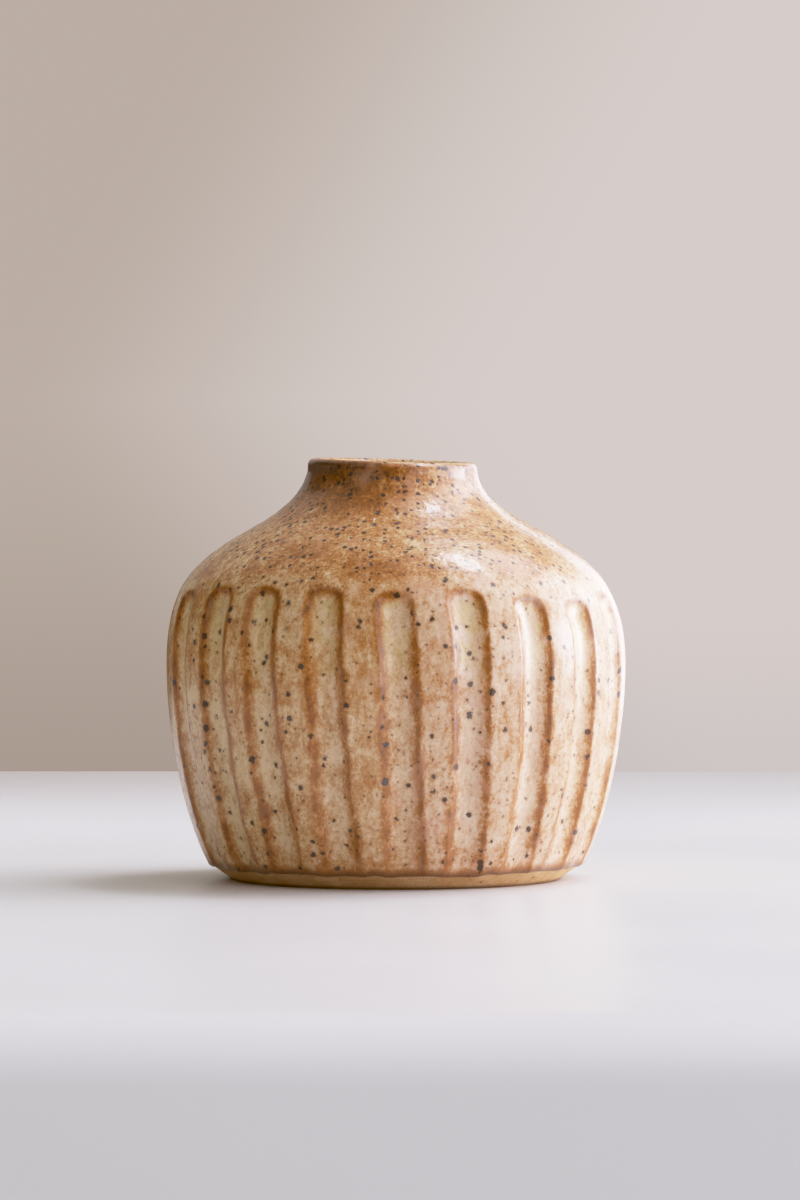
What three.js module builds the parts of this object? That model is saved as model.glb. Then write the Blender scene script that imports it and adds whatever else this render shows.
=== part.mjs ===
// Carved stoneware bud vase.
// Three pieces: the thrown clay body, the glaze on its outside, and the glaze that lines it.
// Millimetres, +Z up. The foot stands on Z = 0, the front faces -Y, and the glazes share
// the clay's own points, so each coat lies face to face on the clay.
import * as THREE from 'three';

// ---- driving dimensions ----------------------------------------------------------------
// Outside outline, measured over the glaze, as radius and height.
const FOOT_EDGE = new THREE.Vector2(32.4, 0);
const BEVEL_TOP = new THREE.Vector2(37.35, 3.6);
const GLAZED_BEVEL = 0.28;             // share of the bevel, from its top, that is glazed
const BELLY = new THREE.Vector2(45.1, 42.2);
const SHOULDER_TURN = new THREE.Vector2(27.2, 69.0);
const SHOULDER_SLOPE = 0.5;            // radians below horizontal, where shoulder meets neck
const NECK_TOP = new THREE.Vector2(16.6, 80.7);
const LIP_CREST = new THREE.Vector2(14.95, 81.9);

// Inside outline, measured over the lining glaze.
const FLOOR_HEIGHT = 7.0;
const FLOOR_EDGE_RADIUS = 25.0;
const INNER_FOOT = new THREE.Vector2(34.6, 16.0);
const INNER_BELLY = new THREE.Vector2(40.1, 42.2);
const INNER_TURN = new THREE.Vector2(25.1, 65.1);
const INNER_NECK = new THREE.Vector2(13.5, 80.6);

// Underside.
const GLAZE_THICKNESS = 0.45;
const FOOT_ROUND = 0.7;                // softened edge between bevel and foot
const FOOT_RING_INNER = 26.5;
const RECESS_DEPTH = 1.2;
const RECESS_EDGE = 25.3;

// Carving: scoops cut side by side with a loop tool, from the shoulder to the bevel.
const FLUTES = 20;
const FLUTE_HALF_WIDTH = 3.7;
const FLUTE_DEPTH = 1.4;
const FLUTE_RUN_OUT = 0.4;             // share of the depth left where a scoop meets the bevel
const RUN_OUT_HEIGHT = 13;             // below this height the scoops get shallower
// Cut by eye, so each scoop has its own error of angle, slant towards the foot, and height.
const ANGLE_ERROR = [0, 0.5, 1, 0.8, 0.3, 0.6, -0.4, 0.9, -0.7, 0.2,
  -0.9, 0.5, 1, -0.3, 0.4, 1.2, 1.7, 1.5, -0.5, -0.5];
const SLANT = [3, 2, 1.5, 0.7, 1, 1.8, 0.4, -0.6, 1.2, 2.1,
  0.3, 1.4, 2.6, 1.1, -0.4, 1.9, 2.8, 2.5, 3.7, 3.2];
const SCOOP_TOP = [57.5, 58, 56.3, 56, 56.5, 57.4, 58.1, 56.8, 57.6, 58.2,
  57, 56.4, 57.9, 58.3, 57.2, 56.6, 56.8, 57.8, 58, 58.3];

// A hand-thrown neck stands a little to one side, and its rim is not quite level.
const NECK_SHIFT = -0.6;
const RIM_TILT = THREE.MathUtils.degToRad(1.7);

// ---- mesh steps ------------------------------------------------------------------------
const ACROSS = [-1, -0.5, 0.5, 1];     // mesh columns in a scoop, in half-widths from its middle
const COLUMNS_PER_FLUTE = ACROSS.length + 1;    // and one on the land beside it
const COLUMNS = FLUTES * COLUMNS_PER_FLUTE;
const INNER_COLUMNS = COLUMNS / 2;
const COLUMN_STEP = 2 * Math.PI / COLUMNS;
const WALL_ROWS = 7;
const SHOULDER_ROWS = 10;
const NECK_ROWS = 4;
const LIP_ROWS = 2;
const INNER_ROWS = 4;
const LAP_ROWS = LIP_ROWS + 1;         // inside rows that the outer glaze covers

// ---- outlines --------------------------------------------------------------------------
const along = (angle, length) =>
  new THREE.Vector2(Math.cos(angle) * length, Math.sin(angle) * length);
const up = Math.PI / 2;
const upAndIn = Math.PI - SHOULDER_SLOPE;

// A smooth stretch that leaves one point in one direction and reaches another in another.
function stretch(from, leaving, reach, to, arriving, approach) {
  return new THREE.CubicBezierCurve(
    from,
    from.clone().add(along(leaving, reach)),
    to.clone().sub(along(arriving, approach)),
    to,
  );
}

// A quarter of an ellipse between two points, starting upright or level.
function quarter(from, to, startsUpright) {
  const centre = startsUpright
    ? new THREE.Vector2(to.x, from.y)
    : new THREE.Vector2(from.x, to.y);
  const halfWidth = Math.abs(to.x - from.x);
  const halfHeight = Math.abs(to.y - from.y);
  const angleOf = (point) => Math.atan2(
    (point.y - centre.y) / halfHeight,
    (point.x - centre.x) / halfWidth,
  );
  return new THREE.EllipseCurve(
    centre.x, centre.y, halfWidth, halfHeight, angleOf(from), angleOf(to), false,
  );
}

const outerBevel = new THREE.LineCurve(BEVEL_TOP.clone().lerp(FOOT_EDGE, GLAZED_BEVEL), BEVEL_TOP);
const outerWall = stretch(BEVEL_TOP, THREE.MathUtils.degToRad(63.5), 9.9, BELLY, up, 13.4);
const outerShoulder = stretch(BELLY, up, 15.7, SHOULDER_TURN, upAndIn, 13);
const outerNeck = stretch(SHOULDER_TURN, upAndIn, 7.6, NECK_TOP, up, 4.4);
const outerLip = quarter(NECK_TOP, LIP_CREST, true);

const innerLip = quarter(LIP_CREST, INNER_NECK, false);
const innerNeck = stretch(INNER_NECK, -up, 8, INNER_TURN, upAndIn + Math.PI, 7);
const innerShoulder = stretch(INNER_TURN, upAndIn + Math.PI, 10.5, INNER_BELLY, -up, 14);
const innerWall = stretch(INNER_BELLY, -up, 11, INNER_FOOT, -1.95, 8);
const innerCorner = stretch(
  INNER_FOOT, -1.95, 6, new THREE.Vector2(FLOOR_EDGE_RADIUS, FLOOR_HEIGHT), Math.PI, 5,
);

// Places along a curve, each with the direction that faces away from the clay.
function spots(curve, rows) {
  return Array.from({ length: rows + 1 }, (_, row) => {
    const point = curve.getPoint(row / rows);
    const tangent = curve.getTangent(row / rows);
    return { r: point.x, z: point.y, normalR: tangent.y, normalZ: -tangent.x };
  });
}

// Curves joined end to end, with each joint counted once.
function chain(...stretches) {
  return stretches.flatMap(([curve, rows], index) => spots(curve, rows).slice(index ? 1 : 0));
}

// The outside starts at the glaze line, and its next spot is on the wall, at the bevel's top.
const glazeLine = spots(outerBevel, 1)[0];
const outside = [glazeLine, ...chain(
  [outerWall, WALL_ROWS],
  [outerShoulder, SHOULDER_ROWS],
  [outerNeck, NECK_ROWS],
  [outerLip, LIP_ROWS],
)];
const inside = chain(
  [innerLip, LIP_ROWS],
  [innerNeck, INNER_ROWS],
  [innerShoulder, INNER_ROWS],
  [innerWall, INNER_ROWS],
  [innerCorner, INNER_ROWS],
).slice(1);

// ---- carving ---------------------------------------------------------------------------
const wrap = (index) => (index + FLUTES) % FLUTES;

// Angle of a scoop's middle at a height, in radians from the front, growing towards +X.
function scoopAngle(flute, z) {
  const near = wrap(flute);
  const turns = (flute - near) / FLUTES * 360;
  const down = 1 - THREE.MathUtils.clamp(z / SCOOP_TOP[near], 0, 1);
  const degrees = near * 360 / FLUTES + ANGLE_ERROR[near] + SLANT[near] * down + turns;
  return THREE.MathUtils.degToRad(degrees);
}

// Angle of a mesh column: it follows its scoop on the wall, and is evenly spaced at the rim.
function columnAngle(column, r, z) {
  const flute = Math.floor(column / COLUMNS_PER_FLUTE);
  const across = ACROSS[column % COLUMNS_PER_FLUTE];
  const half = FLUTE_HALF_WIDTH / r;
  const followed = across === undefined
    ? (scoopAngle(flute, z) + scoopAngle(flute + 1, z)) / 2
    : scoopAngle(flute, z) + across * half;
  const even = (column - (ACROSS.length - 1) / 2) * COLUMN_STEP;
  const evenness = THREE.MathUtils.smoothstep(z, SCOOP_TOP[0], NECK_TOP.y);
  return THREE.MathUtils.lerp(followed, even, evenness);
}

// How far a scoop cuts in at a mesh column. Its upper end is a round arch, and the bevel,
// trimmed afterwards, has no scoops.
function scoopDepth(column, z) {
  const across = ACROSS[column % COLUMNS_PER_FLUTE];
  if (across === undefined || z < BEVEL_TOP.y) return 0;
  const top = SCOOP_TOP[Math.floor(column / COLUMNS_PER_FLUTE)];
  const above = Math.max(0, (z - top) / FLUTE_HALF_WIDTH + 1);
  const section = Math.max(0, 1 - Math.hypot(across, above) ** 3);
  const start = THREE.MathUtils.smoothstep(z, BEVEL_TOP.y, RUN_OUT_HEIGHT);
  return FLUTE_DEPTH * section * THREE.MathUtils.lerp(FLUTE_RUN_OUT, 1, start);
}

// ---- placing points --------------------------------------------------------------------
// A point at a radius, height and angle, with the neck's shift and the rim's tilt.
function place(r, z, angle) {
  const shift = NECK_SHIFT * THREE.MathUtils.smoothstep(z, BELLY.y, NECK_TOP.y);
  const tilt = Math.tan(RIM_TILT) * THREE.MathUtils.smoothstep(z, SHOULDER_TURN.y, NECK_TOP.y);
  const x = r * Math.sin(angle);
  return new THREE.Vector3(x + shift, -r * Math.cos(angle), z - x * tilt);
}

// A ring on the outside, a depth below the glaze's face.
function outerRing(spot, below) {
  return Array.from({ length: COLUMNS }, (_, column) => {
    const inward = scoopDepth(column, spot.z) + below;
    return place(
      spot.r - spot.normalR * inward,
      spot.z - spot.normalZ * inward,
      columnAngle(column, spot.r, spot.z),
    );
  });
}

// A ring on the inside, with half as many columns.
function innerRing(spot, below) {
  return Array.from({ length: INNER_COLUMNS }, (_, column) => place(
    spot.r - spot.normalR * below,
    spot.z - spot.normalZ * below,
    columnAngle(2 * column, NECK_TOP.x, NECK_TOP.y),
  ));
}

// A plain ring on the underside.
function footRing(r, z) {
  return Array.from({ length: COLUMNS }, (_, column) =>
    place(r, z, columnAngle(column, BEVEL_TOP.x, BEVEL_TOP.y)));
}

const centrePoint = (z) => [new THREE.Vector3(0, 0, z)];

// ---- solids ----------------------------------------------------------------------------
// One closed skin over a stack of rings. Neighbours may differ in their number of columns,
// and a ring of one point closes an end. A looped stack joins its last ring to its first.
// Which way a four-sided patch folds goes by its own heights, so touching skins fold alike.
function skin(rings, looped = false) {
  const points = rings.flat();
  const starts = [];
  let count = 0;
  for (const ring of rings) {
    starts.push(count);
    count += ring.length;
  }
  const faces = [];
  const pairs = looped ? rings.length : rings.length - 1;
  for (let index = 0; index < pairs; index += 1) {
    const next = (index + 1) % rings.length;
    const most = Math.max(rings[index].length, rings[next].length);
    const at = (ring, step) =>
      starts[ring] + Math.floor(step * rings[ring].length / most) % rings[ring].length;
    for (let step = 0; step < most; step += 1) {
      const [a, b] = [at(index, step), at(index, step + 1)];
      const [d, c] = [at(next, step), at(next, step + 1)];
      if (a === b) {
        faces.push(a, c, d);
      } else if (c === d) {
        faces.push(a, b, c);
      } else if (points[a].z < points[d].z) {
        faces.push(a, b, c, a, c, d);
      } else {
        faces.push(a, b, d, b, c, d);
      }
    }
  }
  const geometry = new THREE.BufferGeometry();
  geometry.setFromPoints(points);
  geometry.setIndex(faces);
  geometry.computeVertexNormals();
  return geometry;
}

const clayOutside = outside.map((spot) => outerRing(spot, GLAZE_THICKNESS));
const clayInside = inside.map((spot) => innerRing(spot, GLAZE_THICKNESS));
const clayFloor = centrePoint(FLOOR_HEIGHT - GLAZE_THICKNESS);

// The thrown, carved and trimmed clay.
function stonewareBody() {
  const footRound = FOOT_ROUND * Math.SQRT1_2;
  const underside = [
    centrePoint(RECESS_DEPTH),
    footRing(RECESS_EDGE, RECESS_DEPTH),
    footRing(FOOT_RING_INNER, 0),
    footRing(FOOT_EDGE.x - FOOT_ROUND, 0),
    footRing(FOOT_EDGE.x + footRound / 2, footRound),
  ];
  return skin([...underside, ...clayOutside, ...clayInside, clayFloor]);
}

// The glaze on the outside, from its line on the bevel, over the lip and a little way down
// inside the neck.
function outerGlaze() {
  const face = [
    ...outside.map((spot) => outerRing(spot, 0)),
    ...inside.slice(0, LAP_ROWS).map((spot) => innerRing(spot, 0)),
  ];
  const back = [...clayOutside, ...clayInside.slice(0, LAP_ROWS)];
  return skin([...face, ...back.toReversed()], true);
}

// The glaze poured inside, from the edge of the outer glaze down over the floor.
function linerGlaze() {
  const back = clayInside.slice(LAP_ROWS - 1);
  const face = inside.slice(LAP_ROWS - 1).map((spot) => innerRing(spot, 0));
  return skin([clayFloor, ...back.toReversed(), ...face, centrePoint(FLOOR_HEIGHT)]);
}

// ---- the vase --------------------------------------------------------------------------
function piece(name, geometry, colour, roughness) {
  const material = new THREE.MeshStandardMaterial({ color: colour, roughness, metalness: 0 });
  const mesh = new THREE.Mesh(geometry, material);
  mesh.name = name;
  return mesh;
}

const vase = new THREE.Group();
vase.name = 'ceramic_bud_vase';
vase.add(
  piece('stoneware_body', stonewareBody(), 0xb08a5c, 0.8),
  piece('outer_glaze', outerGlaze(), 0xc49a6c, 0.3),
  piece('liner_glaze', linerGlaze(), 0xc9a67c, 0.3),
);

export default vase;
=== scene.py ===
"""Carved stoneware bud vase: the looks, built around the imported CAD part.

The clay body, the outer glaze and the lining glaze are each one closed mesh. Shapes are
worked out in millimetres on grids of rows (along an outline) and columns (around the
axis), and turned into metres when a mesh is made. The front faces -Y.
"""
import math

import bpy
import numpy as np
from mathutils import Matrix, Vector


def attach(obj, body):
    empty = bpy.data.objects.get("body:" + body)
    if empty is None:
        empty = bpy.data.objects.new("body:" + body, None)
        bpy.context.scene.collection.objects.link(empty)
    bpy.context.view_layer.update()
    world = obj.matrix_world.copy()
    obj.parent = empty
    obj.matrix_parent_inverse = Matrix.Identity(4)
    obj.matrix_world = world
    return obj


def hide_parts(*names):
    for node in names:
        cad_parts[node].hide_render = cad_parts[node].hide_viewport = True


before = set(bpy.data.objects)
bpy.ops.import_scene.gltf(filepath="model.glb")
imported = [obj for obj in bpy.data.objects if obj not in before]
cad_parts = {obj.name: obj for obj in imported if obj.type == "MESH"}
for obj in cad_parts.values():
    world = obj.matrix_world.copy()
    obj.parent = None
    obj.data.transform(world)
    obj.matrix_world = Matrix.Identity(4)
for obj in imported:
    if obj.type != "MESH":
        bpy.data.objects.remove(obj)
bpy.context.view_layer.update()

MM = 0.001

# ---- driving dimensions, in millimetres, as in the CAD part -------------------------------
FOOT_EDGE = 32.4
BEVEL_TOP = (37.35, 3.6)
BELLY = (45.1, 42.2)
SHOULDER_TURN = (27.2, 69.0)
SHOULDER_SLOPE = 0.5
NECK_TOP = (16.6, 80.7)
LIP_CREST = (14.95, 81.9)
FLOOR_HEIGHT = 7.0
FLOOR_EDGE = (25.0, FLOOR_HEIGHT)
INNER_FOOT = (34.6, 16.0)
INNER_BELLY = (40.1, 42.2)
INNER_TURN = (25.1, 65.1)
INNER_NECK = (13.5, 80.6)
GLAZE_THICKNESS = 0.45
FOOT_ROUND = 0.7
FOOT_RING_INNER = 26.5
RECESS_DEPTH = 1.2
RECESS_EDGE = 25.3
NECK_SHIFT = -0.6
RIM_TILT = math.radians(1.7)

FLUTES = 20
HALF_WIDTH = 3.7
SCOOP_DEPTH = 1.45
ANGLE_ERROR = np.array([0, 0.5, 1, 0.8, 0.3, 0.6, -0.4, 0.9, -0.7, 0.2,
                        -0.9, 0.5, 1, -0.3, 0.4, 1.2, 1.7, 1.5, -0.5, -0.5])
SLANT = np.array([3, 2, 1.5, 0.7, 1, 1.8, 0.4, -0.6, 1.2, 2.1,
                  0.3, 1.4, 2.6, 1.1, -0.4, 1.9, 2.8, 2.5, 3.7, 3.2])
SCOOP_TOP = np.array([57.5, 58, 56.3, 56, 56.5, 57.4, 58.1, 56.8, 57.6, 58.2,
                      57, 56.4, 57.9, 58.3, 57.2, 56.6, 56.8, 57.8, 58, 58.3])

# ---- finish of the surface, in millimetres ------------------------------------------------
ARCH_POWER = 2.5           # 2 would be a half circle, more is squarer
ARRIS_SOFTNESS = 0.16      # how far the sharp edges of the scoops are rounded in the clay
BEVEL_SOFTNESS = 0.8
SWAY = 0.22                # how far a scoop wanders sideways
WIDTH_CHANGE = 0.16
RUN_OUT_HEIGHT = 13.0      # below this height the scoops get shallower
RING_HEIGHT = 0.07         # throwing rings left on the shoulder and neck
RING_SPACING = 3.4
OUT_OF_ROUND = 0.14
GLAZE_ROLL = 0.14          # extra thickness of the rolled edge at the glaze line
LAP_DEPTH = 5.0            # how far the outer glaze runs down inside the neck

# ---- mesh steps ---------------------------------------------------------------------------
LAND_COLUMNS = 8
SCOOP_COLUMNS = 22
BACK_STEP = 3              # hidden faces use every third column
INNER_COLUMNS = 200

rng = np.random.default_rng(11)


# ---- outlines -----------------------------------------------------------------------------
def heading(angle, length):
    return np.array([math.cos(angle), math.sin(angle)]) * length


def stretch(start, leaving, reach, end, arriving, approach):
    """A smooth stretch that leaves one point in one direction and reaches another in another."""
    start, end = np.array(start), np.array(end)
    first, second = start + heading(leaving, reach), end - heading(arriving, approach)
    t = np.linspace(0, 1, 300)[:, None]
    return (start * (1 - t) ** 3 + first * 3 * t * (1 - t) ** 2
            + second * 3 * t ** 2 * (1 - t) + end * t ** 3)


def line(start, end):
    t = np.linspace(0, 1, 60)[:, None]
    return np.array(start) * (1 - t) + np.array(end) * t


def quarter(start, end, starts_upright):
    """A quarter of an ellipse between two points."""
    turn = np.linspace(0, math.pi / 2, 80)[:, None]
    start, end = np.array(start), np.array(end)
    centre = np.array([end[0], start[1]]) if starts_upright else np.array([start[0], end[1]])
    return centre + (start - centre) * np.cos(turn) + (end - centre) * np.sin(turn)


class Outline:
    """A line of radius and height. Places on it are given by their length along it."""

    def __init__(self, *parts):
        self.points = np.vstack([parts[0], *(part[1:] for part in parts[1:])])
        steps = np.linalg.norm(np.diff(self.points, axis=0), axis=1)
        self.along = np.concatenate([[0], np.cumsum(steps)])
        tangent = np.gradient(self.points, self.along, axis=0)
        tangent /= np.linalg.norm(tangent, axis=1)[:, None]
        self.facing = np.column_stack([tangent[:, 1], -tangent[:, 0]])
        self.length = self.along[-1]

    def at(self, along):
        """Radius, height, and the two parts of the outward direction."""
        columns = (*self.points.T, *self.facing.T)
        return [np.interp(along, self.along, column) for column in columns]

    def reach(self, height):
        """Length at which the line first rises to a height."""
        crest = np.argmax(self.points[:, 1]) + 1
        return np.interp(height, self.points[:crest, 1], self.along[:crest])

    def graded(self, spacing, low, high):
        """Places from low to high whose spacing is a function of the length along."""
        fine = np.linspace(low, high, 6000)
        density = 1 / spacing(fine)
        total = np.concatenate([[0], np.cumsum((density[1:] + density[:-1]) / 2 * np.diff(fine))])
        return np.interp(np.linspace(0, total[-1], round(total[-1]) + 1), total, fine)


UP = math.pi / 2
IN_AND_UP = math.pi - SHOULDER_SLOPE
WALL_START = math.radians(63.5)
FOOT_LINE = np.array(BEVEL_TOP) - heading(WALL_START, 4.5)     # the wall, before it is trimmed

neck_inside = stretch(INNER_NECK, -UP, 8, INNER_TURN, IN_AND_UP + math.pi, 7)
lap_end = int(np.argmax(neck_inside[:, 1] < INNER_NECK[1] - LAP_DEPTH))

outer = Outline(
    line(FOOT_LINE, BEVEL_TOP),
    stretch(BEVEL_TOP, WALL_START, 9.9, BELLY, UP, 13.4),
    stretch(BELLY, UP, 15.7, SHOULDER_TURN, IN_AND_UP, 13),
    stretch(SHOULDER_TURN, IN_AND_UP, 7.6, NECK_TOP, UP, 4.4),
    quarter(NECK_TOP, LIP_CREST, True),
    quarter(LIP_CREST, INNER_NECK, False),
    neck_inside[:lap_end + 1],
)
inner = Outline(
    neck_inside[lap_end:],
    stretch(INNER_TURN, IN_AND_UP + math.pi, 10.5, INNER_BELLY, -UP, 14),
    stretch(INNER_BELLY, -UP, 11, INNER_FOOT, -1.95, 8),
    stretch(INNER_FOOT, -1.95, 6, FLOOR_EDGE, math.pi, 5),
    line(FLOOR_EDGE, (1.5, FLOOR_HEIGHT)),
)


# ---- small helpers ------------------------------------------------------------------------
def smooth(value, low, high):
    t = np.clip((value - low) / (high - low), 0, 1)
    return t * t * (3 - 2 * t)


def lerp(low, high, share):
    return low + (high - low) * share


def soft_positive(value, softness):
    return (value + np.sqrt(value ** 2 + softness ** 2)) / 2


def soft_least(first, second, softness):
    return first - soft_positive(first - second, softness)


def waver(value, phases, lengths):
    """A gentle wander from -1 to 1: a few sine waves with given phases and wave lengths."""
    waves = [np.sin(2 * math.pi * value / length + phases[..., index])
             for index, length in enumerate(lengths)]
    return sum(waves) / len(waves)


# ---- carving ------------------------------------------------------------------------------
WANDER_LENGTHS = (41.0, 23.0, 13.0)
sway_phase = rng.uniform(0, 2 * math.pi, (FLUTES, 3))
width_phase = rng.uniform(0, 2 * math.pi, (FLUTES, 3))
depth_phase = rng.uniform(0, 2 * math.pi, (FLUTES, 3))
run_out = rng.uniform(0.3, 0.62, FLUTES)


def scoop_angle(flute, height):
    """Angle of a scoop's middle from the front, in radians, growing towards +X."""
    near = flute % FLUTES
    down = 1 - np.clip(height / SCOOP_TOP[near], 0, 1)
    degrees = flute * 360 / FLUTES + ANGLE_ERROR[near] + SLANT[near] * down
    sway = SWAY / BELLY[0] * waver(height, sway_phase[near], WANDER_LENGTHS)
    return np.radians(degrees) + sway


def scoop_distance(flute, along, angle, radius, height):
    """Distance from a scoop's outline, negative inside it. Its upper end is a round arch."""
    near = flute % FLUTES
    half = HALF_WIDTH + WIDTH_CHANGE * waver(height, width_phase[near], WANDER_LENGTHS)
    above = np.maximum(0, along - (outer.reach(SCOOP_TOP)[near] - half))
    sideways = (angle - scoop_angle(flute, height)) * radius
    reach = (np.abs(sideways) ** ARCH_POWER + above ** ARCH_POWER) ** (1 / ARCH_POWER)
    return reach - half, half


def scoop_cut(distance, half, near, height):
    """How deep the tool has cut: a circular hollow with a slightly rounded edge."""
    hollow_radius = (half ** 2 + SCOOP_DEPTH ** 2) / (2 * SCOOP_DEPTH)
    inside = np.clip(-distance, 0, half)
    sag = np.sqrt(hollow_radius ** 2 - (half - inside) ** 2) - (hollow_radius - SCOOP_DEPTH)
    slope = half / (hollow_radius - SCOOP_DEPTH)
    cut = soft_positive(np.where(distance < 0, sag, -distance * slope), ARRIS_SOFTNESS)
    start = smooth(height, BEVEL_TOP[1], RUN_OUT_HEIGHT)
    change = 1 + 0.13 * waver(height, depth_phase[near], WANDER_LENGTHS)
    return cut * change * lerp(run_out[near], 1, start)


# ---- placing points -----------------------------------------------------------------------
def place(radius, height, angle):
    """Points in millimetres, with the neck's shift and the rim's tilt."""
    shift = NECK_SHIFT * smooth(height, BELLY[1], NECK_TOP[1])
    tilt = math.tan(RIM_TILT) * smooth(height, SHOULDER_TURN[1], NECK_TOP[1])
    x = radius * np.sin(angle)
    return np.stack([x + shift, -radius * np.cos(angle), height - x * tilt], axis=-1)


def directions(points):
    """The outward direction at each point of a grid that closes around its columns."""
    around = np.roll(points, -1, axis=1) - np.roll(points, 1, axis=1)
    upward = np.gradient(points, axis=0)
    facing = np.cross(around, upward)
    return facing / np.linalg.norm(facing, axis=2)[:, :, None]


def scoop_spots():
    """Places across a scoop, in millimetres from its middle, closest together at its edges."""
    reach = HALF_WIDTH + 1.0
    fine = np.linspace(-reach, reach, 2000)
    density = 1 / (0.22 + 0.14 * np.minimum(np.abs(np.abs(fine) - HALF_WIDTH), 2.2) ** 1.3)
    total = np.cumsum(density)
    total = (total - total[0]) / (total[-1] - total[0])
    return np.interp(np.linspace(0, 1, SCOOP_COLUMNS), total, fine)


ACROSS = scoop_spots()
PER_FLUTE = SCOOP_COLUMNS + LAND_COLUMNS
COLUMNS = FLUTES * PER_FLUTE
column = np.arange(COLUMNS)
column_flute = column // PER_FLUTE
column_place = column % PER_FLUTE


def column_angles(radius, height):
    """Angle of every column: it follows its scoop on the wall, and is even at the rim."""
    middle = scoop_angle(column_flute, height)
    following = scoop_angle(column_flute + 1, height)
    on_scoop = middle + ACROSS[np.minimum(column_place, SCOOP_COLUMNS - 1)] / radius
    left = middle + ACROSS[-1] / radius
    right = following - ACROSS[-1] / radius
    share = (column_place - SCOOP_COLUMNS + 1) / (LAND_COLUMNS + 1)
    followed = np.where(column_place < SCOOP_COLUMNS, on_scoop, lerp(left, right, share))
    even = (column - (SCOOP_COLUMNS - 1) / 2) * 2 * math.pi / COLUMNS
    evenness = smooth(height, SCOOP_TOP.min(), NECK_TOP[1])
    return lerp(followed, even, evenness)


def bevel_radius(height):
    """The cone that the foot was trimmed to."""
    return FOOT_EDGE + height * (BEVEL_TOP[0] - FOOT_EDGE) / BEVEL_TOP[1]


ring_phase = rng.uniform(0, 2 * math.pi, 3)
round_phase = rng.uniform(0, 2 * math.pi, 3)


def clay_outside(along):
    """The clay under the outer glaze, for a grid of lengths along the outline.

    Gives its points, and for each the distance from the nearest scoop's outline and the
    depth of the cut.
    """
    radius, height, facing_r, facing_z = outer.at(along)
    angle = column_angles(radius, height)
    cuts = []
    distances = []
    for flute in (column_flute, column_flute + 1):
        distance, half = scoop_distance(flute, along, angle, radius, height)
        distances.append(distance)
        cuts.append(scoop_cut(distance, half, flute % FLUTES, height))
    cut = np.maximum(*cuts) * smooth(-facing_z, -1.2, -0.6)
    outside = smooth(facing_r, -0.2, 0.3)
    cut = cut * outside
    on_shoulder = smooth(height, 58, 64) * outside
    spiral = along + angle / (2 * math.pi) * RING_SPACING
    rings = waver(spiral, ring_phase, (RING_SPACING, 1.7 * RING_SPACING, 0.6 * RING_SPACING))
    oval = waver(angle / (2 * math.pi), round_phase, (1 / 2, 1 / 3, 1 / 5))
    raised = RING_HEIGHT * rings * on_shoulder + OUT_OF_ROUND * oval * outside
    inward = cut + GLAZE_THICKNESS - raised
    radius = radius - facing_r * inward
    height = height - facing_z * inward
    trimmed = soft_least(radius, bevel_radius(height), BEVEL_SOFTNESS)
    radius = np.where(height < RUN_OUT_HEIGHT, trimmed, radius)
    return place(radius, height, angle), np.minimum(*distances), cut


# ---- meshes -------------------------------------------------------------------------------
def skin(name, rings, looped=False, marks=None):
    """A closed mesh over a stack of rings of points, in millimetres.

    Neighbouring rings may differ in their number of points, and a ring of one point closes
    an end. A looped stack joins its last ring to its first. marks are named values, one for
    each point.
    """
    starts = np.cumsum([0] + [len(ring) for ring in rings])
    faces = []
    for index in range(len(rings) if looped else len(rings) - 1):
        following = (index + 1) % len(rings)
        sizes = len(rings[index]), len(rings[following])
        step = np.arange(max(sizes) + 1)
        low, high = (
            (starts[ring] + step * size // max(sizes) % size).tolist()
            for ring, size in zip((index, following), sizes)
        )
        for a, b, c, d in zip(low, low[1:], high[1:], high):
            faces.append(tuple(dict.fromkeys((a, b, c, d))))
    mesh = bpy.data.meshes.new(name)
    mesh.from_pydata((np.vstack(rings) * MM).tolist(), [], faces)
    mesh.validate()
    mesh.shade_smooth()
    for mark, values in (marks or {}).items():
        layer = mesh.attributes.new(mark, "FLOAT", "POINT")
        layer.data.foreach_set("value", np.concatenate(values).astype(np.float32))
    piece = bpy.data.objects.new(name, mesh)
    bpy.context.scene.collection.objects.link(piece)
    return piece


def centre(height):
    return np.array([[0.0, 0.0, height]])


def sharpen(piece, rings_of_points):
    """Marks the edges inside each of these sets of points as sharp."""
    mesh = piece.data
    ends = np.zeros(len(mesh.edges) * 2, dtype=np.int64)
    mesh.edges.foreach_get("vertices", ends)
    ends = ends.reshape(-1, 2)
    sharp = np.zeros(len(ends), dtype=bool)
    for points in rings_of_points:
        sharp |= np.isin(ends, points).all(axis=1)
    layer = mesh.attributes.new("sharp_edge", "BOOLEAN", "EDGE")
    layer.data.foreach_set("value", sharp)


# ---- the outer glaze ----------------------------------------------------------------------
crest_along = outer.along[np.argmax(outer.points[:, 1])]
line_phase = rng.uniform(0, 2 * math.pi, 4)


def glaze_line():
    """Length along the outline at which the glaze ends, for each column.

    It follows the trimmed edge, lower where a scoop runs out through the bevel, and wavers
    as a wiped edge does.
    """
    tries = np.linspace(0, outer.reach(RUN_OUT_HEIGHT), 240)
    radius, height, facing_r, _ = outer.at(tries[:, None])
    angle = column_angles(radius, height)
    cut = np.zeros_like(angle)
    for flute in (column_flute, column_flute + 1):
        distance, half = scoop_distance(flute, tries[:, None], angle, radius, height)
        cut = np.maximum(cut, scoop_cut(distance, half, flute % FLUTES, height))
    on_wall = radius - facing_r * (cut + GLAZE_THICKNESS) < bevel_radius(height)
    edge = tries[np.argmax(on_wall, axis=0)]
    window = np.hanning(25)
    edge = np.convolve(np.concatenate([edge[-12:], edge, edge[:12]]), window / window.sum(), "valid")
    turns = column / COLUMNS
    return edge - 0.6 + 0.3 * waver(turns, line_phase, (1 / 9, 1 / 17, 1 / 31, 1 / 4))


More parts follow.
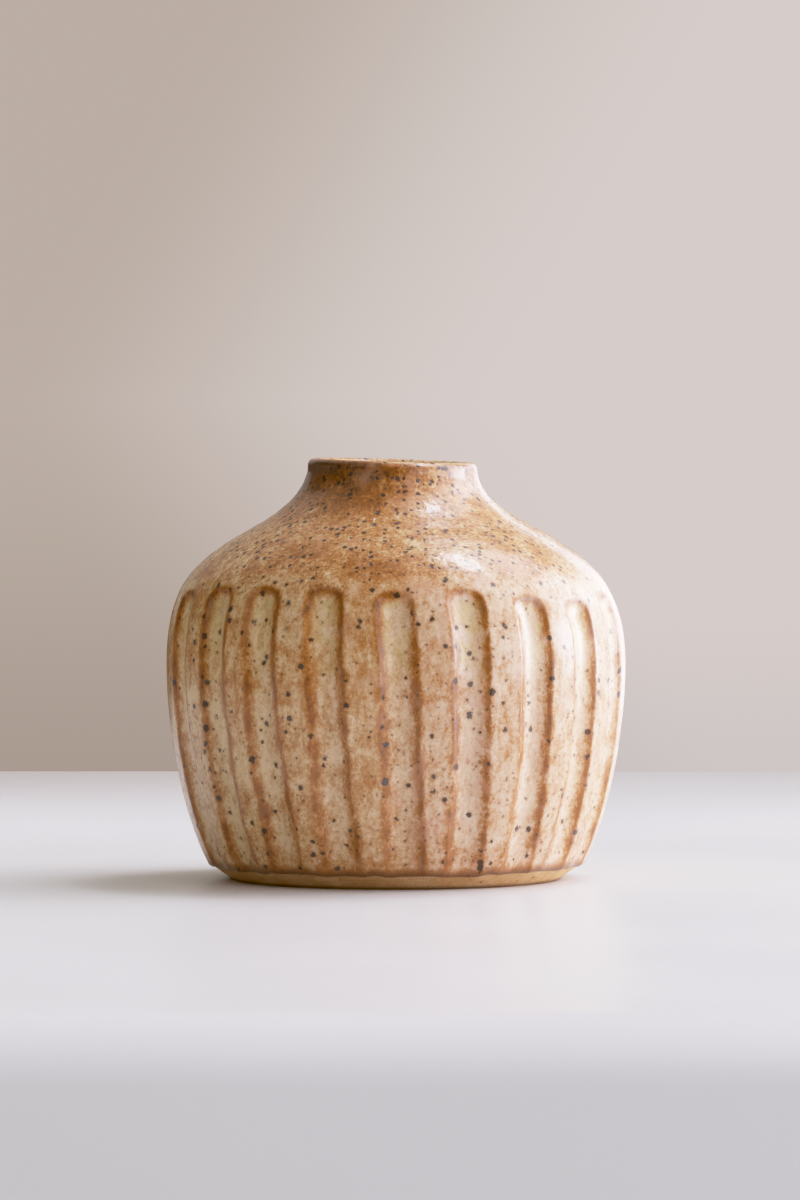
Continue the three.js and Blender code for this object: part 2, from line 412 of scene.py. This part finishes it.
line_along = glaze_line()
mean_line = line_along.mean()


def outer_spacing(along):
    """Row spacing on the outside: finest at the glaze line, the scoops' arches and the lip."""
    lowest, highest = outer.reach(SCOOP_TOP.min() - 5), outer.reach(SCOOP_TOP.max() + 1)
    lip = outer.reach(NECK_TOP[1])
    spacing = lerp(0.15, 1.15, smooth(along, mean_line + 0.8, mean_line + 5))
    near_arch = smooth(along, lowest - 3, lowest) * (1 - smooth(along, highest, highest + 3))
    spacing = lerp(spacing, 0.38, near_arch)
    near_lip = smooth(along, lip - 3, lip - 0.5) * (1 - smooth(along, lip + 3.5, lip + 6))
    return lerp(spacing, 0.2, near_lip)


rows = outer.graded(outer_spacing, mean_line, outer.length)
shift = (line_along - mean_line) * (1 - smooth(rows[:, None], mean_line + 1.5, RUN_OUT_HEIGHT))
grid = rows[:, None] + shift
clay, distance, cut = clay_outside(grid)
facing = directions(clay)
above_line = grid - line_along
before_lap = outer.length - grid

# The coat is thin on the scoops' edges, rolled at the glaze line, and thicker at its lap.
on_edge = np.exp(-(distance / 0.5) ** 2) * smooth(cut, 0, 0.2)
coat = GLAZE_THICKNESS * (1 - 0.3 * on_edge)
coat += GLAZE_ROLL * np.exp(-((above_line - 0.9) / 0.7) ** 2)
from_line = np.clip(above_line / 1.1, 0, 1)
coat *= np.sqrt(from_line * (2 - from_line))
coat += 0.16 * np.exp(-(before_lap / 0.8) ** 2)
glaze = clay + facing * coat[:, :, None]

back_rows = sorted({*range(0, len(rows), 3), len(rows) - 1})
back = clay[back_rows][:, ::BACK_STEP]


def marks_for(values):
    """One value for each point of the outer glaze, its hidden face included."""
    return [*values, *(values[row, ::BACK_STEP] for row in reversed(back_rows))]


arris = np.exp(-(distance / 0.62) ** 2)
wall = smooth(-distance, -0.6, 0.25) * (1 - smooth(-distance, 0.6, 2.4))
outer_glaze = skin(
    "outer_glaze_coat",
    [*glaze, *back[::-1]],
    looped=True,
    marks={
        "arris": marks_for(arris),
        "wall": marks_for(wall),
        "hollow": marks_for(smooth(cut, 0.2, SCOOP_DEPTH)),
        "above_line": marks_for(above_line),
        "past_crest": marks_for(grid - crest_along),
    },
)
lap_ring = np.arange((len(rows) - 1) * COLUMNS, len(rows) * COLUMNS)
sharpen(outer_glaze, [lap_ring])

# ---- the liner glaze ----------------------------------------------------------------------
inner_angle = (np.arange(INNER_COLUMNS) * BACK_STEP - (SCOOP_COLUMNS - 1) / 2) * 2 * math.pi / COLUMNS


def inner_grid(along, below):
    radius, height, facing_r, facing_z = inner.at(along[:, None])
    ripple = 0.12 * waver(along[:, None] + inner_angle, ring_phase, (4.1, 7.3, 2.9))
    below = below - ripple * smooth(along[:, None], 4, 12)
    return place(radius - facing_r * below, height - facing_z * below, inner_angle)


inner_rows = inner.graded(lambda along: lerp(0.7, 1.8, smooth(along, 6, 25)), 0, inner.length)
liner_face = inner_grid(inner_rows, 0.0)
liner_back = inner_grid(inner_rows, GLAZE_THICKNESS)
liner_glaze = skin(
    "liner_glaze_coat",
    [centre(FLOOR_HEIGHT - GLAZE_THICKNESS), *liner_back[::-1], *liner_face, centre(FLOOR_HEIGHT)],
)
sharpen(liner_glaze, [1 + len(inner_rows) * INNER_COLUMNS + np.arange(INNER_COLUMNS)])

# ---- the clay body ------------------------------------------------------------------------
FOOT_ROWS = 6
BEVEL_ROWS = 12


def foot_ring(radius, height, angle):
    return place(np.full(len(angle), radius), np.full(len(angle), height), angle)


def underside(angle):
    """Rings of the recess, the foot ring and its softened edge."""
    step = line((RECESS_EDGE, RECESS_DEPTH), (FOOT_RING_INNER, 0))[::12]
    turn = np.linspace(-UP, -math.radians(20), FOOT_ROWS)
    middle = FOOT_EDGE - FOOT_ROUND * 0.6
    rounded = [(middle + FOOT_ROUND * math.cos(t), FOOT_ROUND + FOOT_ROUND * math.sin(t)) for t in turn]
    spots = [*((radius, RECESS_DEPTH) for radius in (6, 12, 18, 23)), *step, (28.5, 0), (30.5, 0), *rounded]
    return [foot_ring(radius, height, angle) for radius, height in spots]


line_ring = clay[0][::BACK_STEP]
line_radius = np.hypot(line_ring[:, 0], line_ring[:, 1])
line_angle = np.arctan2(line_ring[:, 0], -line_ring[:, 1])
foot_rings = underside(line_angle)
foot_top = foot_rings[-1]
bevel_rings = [lerp(foot_top, line_ring, share) for share in np.linspace(0, 1, BEVEL_ROWS + 1)[1:-1]]
body = skin(
    "stoneware_vase_body",
    [centre(RECESS_DEPTH), *foot_rings, *bevel_rings, *back, *liner_back[1:],
     centre(FLOOR_HEIGHT - GLAZE_THICKNESS)],
)


# ---- materials ----------------------------------------------------------------------------
class Paint:
    """Builds a material's nodes around a Principled shader. Sizes are in millimetres."""

    def __init__(self, name):
        self.material = bpy.data.materials.new(name)
        self.material.use_nodes = True
        self.tree = self.material.node_tree
        self.shader = self.tree.nodes["Principled BSDF"]
        self.position = self.tree.nodes.new("ShaderNodeTexCoord").outputs["Object"]

    def node(self, kind, inputs, output=0, **settings):
        """Adds a node, sets or links its inputs, and gives one of its outputs."""
        made = self.tree.nodes.new("ShaderNode" + kind)
        for key, value in settings.items():
            setattr(made, key, value)
        for key, value in inputs.items():
            if isinstance(value, bpy.types.NodeSocket):
                self.tree.links.new(value, made.inputs[key])
            else:
                made.inputs[key].default_value = value
        return made.outputs[output]

    def math(self, operation, first, second=0.0):
        return self.node("Math", {0: first, 1: second}, operation=operation)

    def add(self, first, second):
        return self.math("ADD", first, second)

    def times(self, first, second):
        return self.math("MULTIPLY", first, second)

    def noise(self, size, detail=2.0, roughness=0.5, distortion=0.0, output=0, position=None):
        inputs = {"Vector": position or self.position, "Scale": 1 / (size * MM), "Detail": detail,
                  "Roughness": roughness, "Distortion": distortion}
        return self.node("TexNoise", inputs, output)

    def between(self, value, low, high, to_low=0.0, to_high=1.0):
        """A smooth step from to_low to to_high as value goes from low to high."""
        inputs = {"Value": value, "From Min": low, "From Max": high, "To Min": to_low, "To Max": to_high}
        return self.node("MapRange", inputs, interpolation_type="SMOOTHSTEP")

    def mix(self, share, first, second):
        return self.node("Mix", {0: share, 6: first, 7: second}, 2, data_type="RGBA")

    def mark(self, name):
        """A value stored on the mesh's points."""
        return self.node("Attribute", {}, 2, attribute_name=name)

    def height(self):
        """Height above the foot, in millimetres."""
        return self.times(self.node("SeparateXYZ", {0: self.position}, 2), 1 / MM)

    def scattered(self, spacing, largest, push, seed):
        """Round flecks scattered through the clay: 1 in a fleck, 0 outside, and its halo.

        push is a number or a socket that makes flecks larger where it is above 1.
        """
        wobble = self.noise(0.55, 2, output=1)
        wobble = self.node("VectorMath", {0: wobble, 1: (0.5, 0.5, 0.5)}, operation="SUBTRACT")
        wobble = self.node("VectorMath", {0: wobble, 3: 0.9 * MM}, operation="SCALE")
        moved = self.node("VectorMath", {0: self.position, 1: wobble}, operation="ADD")
        moved = self.node("VectorMath", {0: moved, 1: (seed, 0.37 * seed, 0.61 * seed)}, operation="ADD")
        cells = self.tree.nodes.new("ShaderNodeTexVoronoi")
        cells.inputs["Scale"].default_value = 1 / (spacing * MM)
        self.tree.links.new(moved, cells.inputs["Vector"])
        away = self.times(cells.outputs["Distance"], spacing)
        chance = self.node("SeparateColor", {0: cells.outputs["Color"]}, 0)
        size = self.times(self.times(self.between(chance, 0.25, 1.0, 0.0, 1.0), largest), push)
        inside = self.math("SUBTRACT", size, away)
        return self.between(inside, -0.11, 0.11), self.between(inside, -0.5, 0.1), chance

    def centred(self, value):
        """A noise value moved to vary about 0."""
        return self.math("SUBTRACT", value, 0.5)

    def bump(self, height, depth, onto=None):
        inputs = {"Height": height, "Distance": depth * MM, "Strength": 1.0}
        if onto is not None:
            inputs["Normal"] = onto
        return self.node("Bump", inputs)

    def finish(self, colour, roughness, normal, **fixed):
        for key, value in {"Base Color": colour, "Roughness": roughness, "Normal": normal}.items():
            self.tree.links.new(value, self.shader.inputs[key])
        for key, value in fixed.items():
            self.shader.inputs[key.replace("_", " ")].default_value = value
        return self.material


CREAM = (0.77, 0.55, 0.345, 1)
SAND = (0.64, 0.395, 0.20, 1)
TAN = (0.53, 0.265, 0.095, 1)
ORANGE = (0.46, 0.185, 0.042, 1)
RUST = (0.33, 0.112, 0.018, 1)
BROWN = (0.11, 0.038, 0.010, 1)
BLUSH = (0.60, 0.30, 0.17, 1)
YELLOW = (0.70, 0.55, 0.25, 1)
SHEEN_ROSE = (0.72, 0.49, 0.41, 1)
FLECK = (0.030, 0.013, 0.007, 1)
BLUE_FLECK = (0.06, 0.05, 0.05, 1)
CLAY = (0.62, 0.345, 0.15, 1)
DARK_CLAY = (0.36, 0.175, 0.06, 1)
PALE_CLAY = (0.74, 0.47, 0.25, 1)

# Colour of the glaze from thick, 0, to thin, 1, where the iron in the clay comes through.
THINNING = ((0.0, CREAM), (0.24, SAND), (0.44, TAN), (0.62, ORANGE), (0.80, RUST), (1.0, BROWN))


def glaze_material(name, marked):
    """Oatmeal glaze over speckled clay: cream where it is thick, rust where it is thin."""
    paint = Paint(name)
    height = paint.height()
    stretched = paint.node("VectorMath", {0: paint.position, 1: (1.0, 1.0, 0.4)}, operation="MULTIPLY")
    clouds = paint.noise(13, 3, 0.55)
    patches = paint.noise(3.4, 3, 0.6, 0.3)
    streaks = paint.noise(1.5, 3, 0.65, 0.5, position=stretched)
    grain = paint.noise(0.6, 3, 0.65, 0.6)
    along_edges = paint.noise(7, 3, 0.6)

    shoulder = paint.between(height, 56, 64)
    neck = paint.between(height, 69, 77)
    on_wall = paint.math("SUBTRACT", 1.0, shoulder)

    # How thin the glaze is: mottled all over, thin on edges, walls, shoulder and neck. Painted light is
    # mixed in: painted shade on the neck's left and under the arch tops, and a painted highlight on the
    # lip's crest.
    thinness_and_painted_light = paint.add(0.335, paint.times(paint.centred(clouds), 0.55))
    thinness_and_painted_light = paint.add(thinness_and_painted_light, paint.times(paint.centred(patches), 0.85))
    thinness_and_painted_light = paint.add(thinness_and_painted_light, paint.times(paint.centred(streaks), 1.1))
    coarse = paint.add(1.0, paint.times(shoulder, 0.8))
    thinness_and_painted_light = paint.add(thinness_and_painted_light, paint.times(paint.centred(grain), coarse))
    thinness_and_painted_light = paint.add(thinness_and_painted_light, paint.times(shoulder, 0.19))
    thinness_and_painted_light = paint.add(thinness_and_painted_light, paint.times(neck, 0.14))
    sideways = paint.times(paint.node("SeparateXYZ", {0: paint.position}, 0), 1 / MM)
    # Darker on the neck's left, the side away from the window: painted shade.
    thinness_and_painted_light = paint.add(thinness_and_painted_light, paint.times(paint.times(neck, paint.between(sideways, 3, -9)), 0.38))
    band = paint.times(paint.between(height, 58.5, 61.5), paint.between(height, 68, 63.5))
    thinness_and_painted_light = paint.add(thinness_and_painted_light, paint.times(band, paint.between(clouds, 0.4, 0.6, 0.0, 0.22)))
    if marked:
        arris, wall, hollow = paint.mark("arris"), paint.mark("wall"), paint.mark("hollow")
        past_crest, above_line = paint.mark("past_crest"), paint.mark("above_line")
        changing = paint.between(along_edges, 0.32, 0.66, 0.6, 1.1)
        thinness_and_painted_light = paint.add(thinness_and_painted_light, paint.times(hollow, -0.15))
        thinness_and_painted_light = paint.add(thinness_and_painted_light, paint.times(paint.times(arris, changing), 0.34))
        thinness_and_painted_light = paint.add(thinness_and_painted_light, paint.times(paint.times(wall, changing), 0.26))
        # Darker still on the scoop edges towards the arch tops: partly glaze break, partly painted shade
        # under the top of each recess.
        arch = paint.times(paint.between(height, 50, 55), paint.times(arris, on_wall))
        thinness_and_painted_light = paint.add(thinness_and_painted_light, paint.times(arch, 0.12))
        under_lip = paint.times(paint.between(past_crest, -6.5, -2.6), paint.between(past_crest, -0.8, -1.4))
        thinness_and_painted_light = paint.add(thinness_and_painted_light, paint.times(under_lip, paint.between(clouds, 0.35, 0.6, 0.05, 0.3)))
        # Paler along the lip's crest: a painted highlight where the crest catches the light from behind.
        crest_painted_highlight = paint.times(paint.between(past_crest, -1.1, -0.5), paint.between(past_crest, 1.6, 0.9))
        thinness_and_painted_light = paint.add(thinness_and_painted_light, paint.times(crest_painted_highlight, -0.5))
    thinness_and_painted_light = paint.math("MINIMUM", thinness_and_painted_light, paint.between(thinness_and_painted_light, 0.8, 1.4, 0.8, 1.0))
    ramp = paint.tree.nodes.new("ShaderNodeValToRGB")
    paint.tree.links.new(thinness_and_painted_light, ramp.inputs[0])
    stops = ramp.color_ramp.elements
    for place_of, tint in THINNING[1:-1]:
        stops.new(place_of).color = tint
    stops[0].color, stops[-1].color = THINNING[0][1], THINNING[-1][1]
    blush = paint.between(paint.noise(5.5, 2, 0.5, 0.5), 0.5, 0.72, 0.0, 0.5)
    # Blush is weaker on the shaded left and full on the lit right: painted light over the glaze's own random
    # blush.
    blush = paint.times(blush, paint.between(sideways, -25, 5, 0.3, 1.0))
    colour = paint.mix(blush, ramp.outputs[0], BLUSH)
    # Where it is thick, the glaze is painted a little yellower on the left, as painted shade, and pinker on
    # the right, as a painted sheen of the window light.
    painted_shade_left = paint.times(paint.between(thinness_and_painted_light, 0.45, 0.15), paint.between(sideways, -10, -34, 0, 0.4))
    colour = paint.mix(painted_shade_left, colour, YELLOW)
    painted_sheen_right = paint.times(paint.between(thinness_and_painted_light, 0.7, 0.3), paint.between(sideways, -8, 14, 0, 0.36))
    painted_sheen_right = paint.times(painted_sheen_right, paint.between(sideways, 44, 22, 0.35, 1.0))
    colour = paint.mix(paint.times(painted_sheen_right, on_wall), colour, SHEEN_ROSE)
    if marked:
        pool = paint.times(hollow, paint.between(height, 36, 52))
        pool = paint.times(pool, paint.between(patches, 0.4, 0.6))
        colour = paint.mix(paint.times(pool, 0.55), colour, YELLOW)
        # The glaze line: a dark, reddish rolled edge.
        up_from_line = paint.add(above_line, paint.times(paint.centred(paint.noise(1.6, 2)), -1.2))
        colour = paint.mix(paint.between(up_from_line, 2.6, 1.3, 0, 0.85), colour, RUST)
        colour = paint.mix(paint.between(up_from_line, 1.9, 0.7, 0, 0.62), colour, BROWN)

    # Iron flecks from the clay, more of them on the shoulder and neck.
    shown = paint.add(0.88, paint.times(arris, 0.5)) if marked else 1.0
    large, large_halo, chance = paint.scattered(2.3, 0.62, shown, 0.31)
    small, small_halo, _ = paint.scattered(1.3, 0.32, paint.add(0.85, paint.times(shoulder, 0.35)), 0.83)
    extra, _, _ = paint.scattered(1.3, 0.52, shoulder, 0.57)
    large = paint.math("MAXIMUM", large, extra)
    halo = paint.math("MAXIMUM", large_halo, paint.times(small_halo, 0.6))
    colour = paint.mix(paint.times(halo, 0.5), colour, RUST)
    fleck = paint.mix(paint.between(chance, 0.9, 0.96, 0, 0.8), FLECK, BLUE_FLECK)
    colour = paint.mix(paint.times(small, 0.78), colour, BROWN)
    colour = paint.mix(paint.times(large, 0.92), colour, fleck)

    roughness = paint.between(grain, 0.3, 0.8, 0.34, 0.46)
    roughness = paint.add(roughness, paint.times(large, 0.12))
    peel = paint.bump(paint.noise(2.4, 2, 0.5), 0.09)
    grains_bump = paint.bump(grain, 0.02, peel)
    normal = paint.bump(paint.add(large, paint.times(small, 0.5)), -0.035, grains_bump)
    paint.tree.links.new(peel, paint.shader.inputs["Coat Normal"])
    return paint.finish(colour, roughness, normal, IOR=1.48,
                        Coat_Weight=0.48, Coat_Roughness=0.14, Coat_IOR=1.5)


def clay_material():
    """Bare, sandy stoneware with trimming lines, flecks and small pits."""
    paint = Paint("bare_stoneware")
    height = paint.height()
    patches = paint.noise(4.5, 3, 0.6)
    sand = paint.noise(0.42, 3, 0.7)
    stretched = paint.node("VectorMath", {0: paint.position, 1: (0.06, 0.06, 1.0)}, operation="MULTIPLY")
    trimming = paint.noise(0.5, 2, 0.6, position=stretched)
    colour = paint.mix(paint.between(patches, 0.3, 0.7), CLAY, PALE_CLAY)
    colour = paint.mix(paint.between(sand, 0.48, 0.72, 0, 0.65), colour, DARK_CLAY)
    colour = paint.mix(paint.between(trimming, 0.5, 0.75, 0, 0.3), colour, DARK_CLAY)
    # Darker along the foot's bottom edge, where it meets the table: painted shade.
    colour = paint.mix(paint.between(height, 0.9, 0.1, 0, 0.8), colour, BROWN)
    fleck, halo, _ = paint.scattered(2.6, 0.42, 1.0, 0.55)
    colour = paint.mix(paint.times(halo, 0.3), colour, RUST)
    colour = paint.mix(paint.times(fleck, 0.9), colour, FLECK)
    roughness = paint.between(sand, 0.3, 0.8, 0.7, 0.9)
    normal = paint.bump(sand, 0.07)
    normal = paint.bump(trimming, 0.05, normal)
    normal = paint.bump(fleck, -0.08, normal)
    return paint.finish(colour, roughness, normal, IOR=1.45)


def dress(piece, material, node):
    piece.data.materials.append(material)
    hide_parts(node)
    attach(piece, "root")


dress(outer_glaze, glaze_material("oatmeal_glaze", True), "outer_glaze")
dress(liner_glaze, glaze_material("liner_oatmeal_glaze", False), "liner_glaze")
dress(body, clay_material(), "stoneware_body")


# ---- floor, light and camera ---------------------------------------------------------------
FRONT_SLOPE = math.radians(39)


def table_slab():
    """A pale slab, seen across its short side, with a rounded, sloping front edge."""
    front, back_edge, thick, half_length = -0.303, 0.385, 0.060, 1.6
    front_radius, back_radius = 0.028, 0.016
    turn = np.linspace(0, UP, 17)
    rounding = np.column_stack([np.cos(turn), np.sin(turn)])
    behind = rounding * back_radius + (back_edge - back_radius, -back_radius)
    slope = turn[turn >= FRONT_SLOPE][::-1]
    before = np.column_stack([-np.cos(slope), np.sin(slope)]) * front_radius + (front, -front_radius)
    fall = thick + before[-1, 1]
    toe = (before[-1, 0] - fall * math.tan(slope[-1]), -thick)
    section = [(back_edge, -thick), *behind, *before, toe]
    points = [(side * half_length, y, z) for side in (-1, 1) for y, z in section]
    count = len(section)
    faces = [(i, (i + 1) % count, count + (i + 1) % count, count + i) for i in range(count)]
    faces += [tuple(range(count))[::-1], tuple(range(count, 2 * count))]
    mesh = bpy.data.meshes.new("table")
    mesh.from_pydata(points, [], faces)
    mesh.shade_smooth()
    mesh.set_sharp_from_angle(angle=math.radians(40))
    slab = bpy.data.objects.new("table", mesh)
    bpy.context.scene.collection.objects.link(slab)
    return slab


def table_material():
    """Pale, slightly glossy painted surface."""
    paint = Paint("pale_table")
    soft = paint.noise(60, 3, 0.5)
    specks = paint.noise(2.5, 2, 0.5)
    colour = paint.mix(paint.between(soft, 0.3, 0.7), (0.775, 0.765, 0.785, 1), (0.79, 0.78, 0.80, 1))
    depth = paint.times(paint.node("SeparateXYZ", {0: paint.position}, 1), 1 / MM)
    sideways = paint.times(paint.node("SeparateXYZ", {0: paint.position}, 0), 1 / MM)
    # Darker and warmer towards the back, darkest on the left: a painted reflection of the wall behind.
    painted_wall_reflection = paint.mix(paint.between(sideways, -80, 60), (0.43, 0.375, 0.355, 1), (0.50, 0.46, 0.455, 1))
    colour = paint.mix(paint.between(depth, 150, 400), colour, painted_wall_reflection)
    roughness = paint.between(soft, 0.3, 0.7, 0.30, 0.33)
    return paint.finish(colour, roughness, paint.bump(specks, 0.006), IOR=1.45)


# Soft panels around the vase: azimuth (0 is the camera's side, 90 is +X), elevation, angular
# width and height, all in degrees, and brightness. A tall, cool window to the right does most.
PANEL_DISTANCE = 2.5
DAYLIGHT = (0.96, 0.972, 1.10)
ROOM_LIGHT = (1.0, 0.915, 0.82)
WINDOWS = {
    "window": (106, 5, 28, 26, 14.5),
    "window_near": (79, 5, 26, 26, 5.6),
    "window_middle": (120, 31, 30, 26, 6.0),
    "window_middle_near": (90, 31, 30, 26, 3.3),
    "window_top": (116, 58, 46, 26, 4.0),
    "window_far": (146, 8, 44, 32, 3.4),
    "skylight": (131, 67, 12, 7, 23.0),
    "front_right": (48, 5, 36, 26, 2.9),
    "front_right_high": (48, 42, 34, 34, 1.1),
}
ROOM_WALLS = {
    "back": (180, 25, 70, 44, 0.42),
    "front_left": (-35, 25, 40, 30, 0.9),
    "left": (-105, 5, 60, 26, 0.13),
    "left_high": (-125, 50, 50, 40, 0.2),
    "ceiling": (0, 88, 100, 100, 0.36),
}


def soft_panel(name, tint, azimuth, elevation, width, tall, brightness):
    """An area light that faces the vase."""
    turn, rise = math.radians(azimuth), math.radians(elevation)
    away = Vector((math.sin(turn) * math.cos(rise), -math.cos(turn) * math.cos(rise), math.sin(rise)))
    light = bpy.data.lights.new(name, "AREA")
    light.shape = "RECTANGLE"
    light.color = tint
    light.size = 2 * PANEL_DISTANCE * math.tan(math.radians(width / 2))
    light.size_y = 2 * PANEL_DISTANCE * math.tan(math.radians(tall / 2))
    light.energy = brightness * math.pi * light.size * light.size_y
    lamp = bpy.data.objects.new(name, light)
    lamp.location = away * PANEL_DISTANCE + Vector((0, 0, BELLY[1] * MM))
    lamp.rotation_euler = away.to_track_quat("Z", "Y").to_euler()
    lamp.visible_camera = False
    bpy.context.scene.collection.objects.link(lamp)


def backdrop():
    """A warm grey wall seen behind the table, with painted light that makes it lighter to the right, and
    faint room light.
    """
    world = bpy.data.worlds.new("studio")
    bpy.context.scene.world = world
    world.use_nodes = True
    tree = world.node_tree
    tree.nodes.clear()

    def made(kind, inputs=(), **settings):
        node = tree.nodes.new("ShaderNode" + kind)
        for key, value in settings.items():
            setattr(node, key, value)
        for index, value in dict(inputs).items():
            if isinstance(value, bpy.types.NodeSocket):
                tree.links.new(value, node.inputs[index])
            else:
                node.inputs[index].default_value = value
        return node.outputs

    def ramp(value, low, high):
        return made("MapRange", {0: value, 1: low, 2: high}, interpolation_type="SMOOTHSTEP")[0]

    def blend(share, first, second):
        return made("Mix", {0: share, 6: first, 7: second}, data_type="RGBA")[2]

    parts = made("SeparateXYZ", {0: made("TexCoord")["Generated"]})
    above = made("Math", {0: parts[2], 1: 0.0114}, operation="ADD")[0]
    apart = made("Math", {0: above}, operation="ABSOLUTE")[0]
    lean = made("Math", {0: apart, 1: -0.6}, operation="MULTIPLY")[0]
    across = ramp(made("Math", {0: parts[0], 1: lean}, operation="ADD")[0], -0.053, 0.015)
    up_left, up_right = ramp(parts[2], -0.065, -0.01), ramp(parts[2], -0.058, -0.035)
    left = blend(up_left, (0.39, 0.322, 0.285, 1), (0.51, 0.425, 0.378, 1))
    right = blend(up_right, (0.68, 0.605, 0.60, 1), (0.765, 0.67, 0.645, 1))
    seen = made("Background", {0: blend(across, left, right)})[0]
    room = made("Background", {0: (*ROOM_LIGHT, 1), 1: 0.04})[0]
    choose = made("MixShader", {0: made("LightPath")["Is Camera Ray"], 1: room, 2: seen})[0]
    made("OutputWorld", {0: choose})


def develop():
    """Plain colours, with bright values eased towards white as film does."""
    settings = bpy.context.scene.view_settings
    settings.view_transform = "Standard"
    settings.use_curve_mapping = True
    mapping = settings.curve_mapping
    brightest, knee = 2.4, 0.4
    mapping.white_level = (brightest,) * 3
    mapping.black_level = (0.0, 0.003, 0.011)
    curve = mapping.curves[3]
    for light in (knee, 0.55, 0.75, 1.0, 1.35, 1.8):
        eased = knee + (1 - knee) * (1 - math.exp((knee - light) / (1 - knee)))
        curve.points.new(light / brightest, eased)
    for point in curve.points:
        point.handle_type = "VECTOR"
    mapping.update()


def camera():
    """A long lens a little above the table, pitched down to it."""
    view = bpy.data.cameras.new("camera")
    view.sensor_width = 36.0
    view.lens = 246.0
    view.clip_end = 50.0
    eye = bpy.data.objects.new("camera", view)
    eye.location = (0.0009, -1.605, 0.112)
    eye.rotation_euler = (math.radians(90 - 2.05), 0, 0)
    bpy.context.scene.collection.objects.link(eye)
    bpy.context.scene.camera = eye


slab = table_slab()
slab.data.materials.append(table_material())
for light_colour, panels in ((DAYLIGHT, WINDOWS), (ROOM_LIGHT, ROOM_WALLS)):
    for panel, shape in panels.items():
        soft_panel(panel, light_colour, *shape)
backdrop()
camera()
develop()
